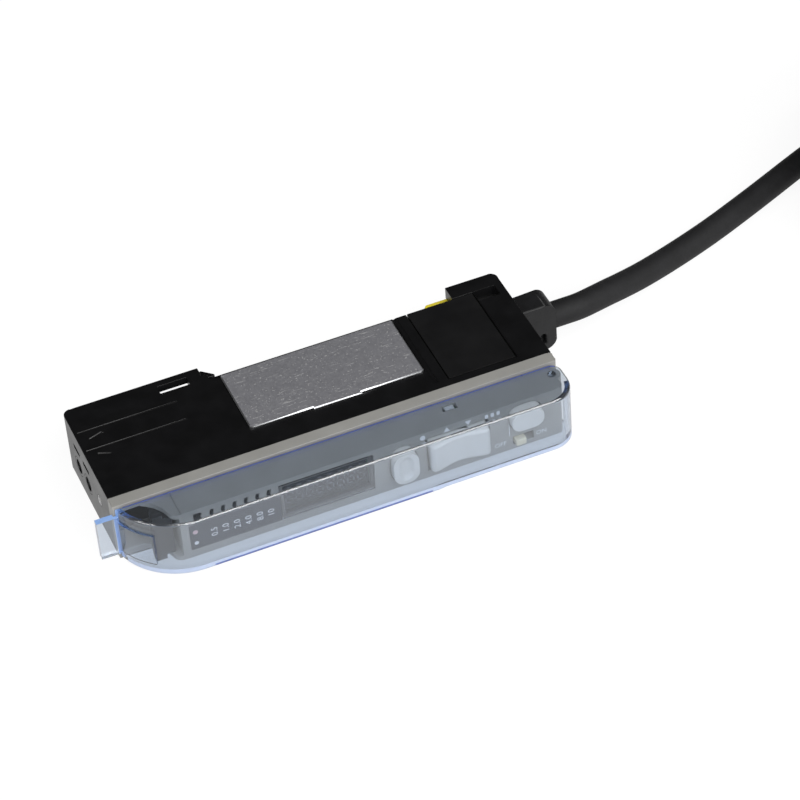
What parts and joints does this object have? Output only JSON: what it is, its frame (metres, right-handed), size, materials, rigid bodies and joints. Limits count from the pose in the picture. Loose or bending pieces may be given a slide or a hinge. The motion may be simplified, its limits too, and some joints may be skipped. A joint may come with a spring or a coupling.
{
  "type": "fibre optic sensor amplifier",
  "caption": "Slim amplifier for fibre optic sensors with a hinged clear cover over its key panel, a fibre lock lever, a rail foot with a sprung latch and a fixed cable.",
  "frame": {"origin": "middle of the amplifier's box without its loose cable, on the broad side that it lies on", "axes": "+X from the fibre end to the cable end, +Y from the panel to the rail foot, +Z across the thickness"},
  "size_m": [0.2095, 0.0468, 0.0211],
  "materials": {
    "black_plastic": "satin black moulded plastic",
    "grey_plastic": "fine matt grey moulded plastic",
    "clear_plastic": "clear polished plastic with a light blue tint",
    "plate_metal": "thin rolled metal plate, dull",
    "smoked_plastic": "smoked clear plastic",
    "label_film": "dark printed film",
    "lens_plastic": "tinted lens plastic",
    "end_lens_plastic": "clear lens plastic",
    "key_plastic": "pale grey key plastic",
    "knob_plastic": "ivory plastic",
    "latch_plastic": "yellow plastic",
    "cable_sheath": "dark grey flexible sheath",
    "board_laminate": "green circuit board",
    "chip_plastic": "black component plastic",
    "led_plastic": "light chip plastic",
    "red_plastic": "red emitter plastic",
    "switch_metal": "pressed switch cases",
    "carrier_plastic": "light grey plastic",
    "clamp_plastic": "natural plastic",
    "bright_steel": "bright steel",
    "tie_plastic": "black tie",
    "brown_sheath": "brown core sheath",
    "blue_sheath": "blue core sheath",
    "black_sheath": "black core sheath",
    "white_sheath": "white core sheath"
  },
  "bodies": {
    "case": {"case_shell": "black_plastic", "panel_bezel": "grey_plastic", "side_plate": "plate_metal", "connector_cover": "black_plastic", "end_lens": "end_lens_plastic", "cable_gland": "cable_sheath", "display_window": "smoked_plastic", "indicator_label": "label_film", "indicator_lenses": "lens_plastic", "panel_board": "board_laminate", "display_module": "chip_plastic", "indicator_leds": "led_plastic", "key_switches": "switch_metal", "selector_body": "chip_plastic", "board_carrier": "carrier_plastic", "main_board": "board_laminate", "controller_chip": "chip_plastic", "board_link": "chip_plastic", "shield_can": "bright_steel", "fibre_holder": "black_plastic", "emitter_led": "red_plastic", "receiver_diode": "chip_plastic", "lever_pin": "bright_steel", "latch_spring": "bright_steel", "cable": "cable_sheath", "cable_coil": "cable_sheath", "coil_tie": "tie_plastic", "cable_tail": "cable_sheath", "core_brown": "brown_sheath", "core_blue": "blue_sheath", "core_black": "black_sheath", "core_white": "white_sheath"},
    "cover": {"protective_cover": "clear_plastic"},
    "lever": {"lock_lever": "black_plastic"},
    "clamp": {"fibre_clamp": "clamp_plastic"},
    "set_key": {"set_button": "key_plastic"},
    "rocker": {"rocker_key": "key_plastic"},
    "mode_key": {"mode_button": "key_plastic"},
    "selector": {"slide_knob": "knob_plastic"},
    "latch": {"rail_latch": "latch_plastic"}
  },
  "joints": [
    {"name": "cover_hinge", "type": "hinge", "parent": "case", "child": "cover", "pos_m": [0.03075, -0.0089, 0.005], "axis": [0, 0, 1], "range_deg": [0, 95]},
    {"name": "lever_turn", "type": "hinge", "parent": "case", "child": "lever", "pos_m": [-0.0288, -0.0061, 0.005], "axis": [0, 0, -1], "range_deg": [0, 48]},
    {"name": "clamp_slide", "type": "slide", "parent": "case", "child": "clamp", "axis": [0, -1, 0], "range_m": [0, 0.0006]},
    {"name": "set_press", "type": "slide", "parent": "case", "child": "set_key", "axis": [0, 1, 0], "range_m": [0, 0.0003], "stiffness_N_per_m": 400},
    {"name": "rocker_tilt", "type": "hinge", "parent": "case", "child": "rocker", "pos_m": [0.0145, -0.0107, 0.005], "axis": [0, 0, 1], "range_deg": [-3.5, 3.5], "stiffness_Nm_per_rad": 0.005},
    {"name": "mode_press", "type": "slide", "parent": "case", "child": "mode_key", "axis": [0, 1, 0], "range_m": [0, 0.0003], "stiffness_N_per_m": 400},
    {"name": "selector_slide", "type": "slide", "parent": "case", "child": "selector", "axis": [1, 0, 0], "range_m": [0, 0.0013]},
    {"name": "latch_slide", "type": "slide", "parent": "case", "child": "latch", "axis": [1, 0, 0], "range_m": [0, 0.0018], "stiffness_N_per_m": 500, "deforming": ["latch_spring"]}
  ],
  "couplings": [
    {"joint": "lever_turn", "follows": "clamp_slide", "rad_per_m": 1396.3}
  ]
}
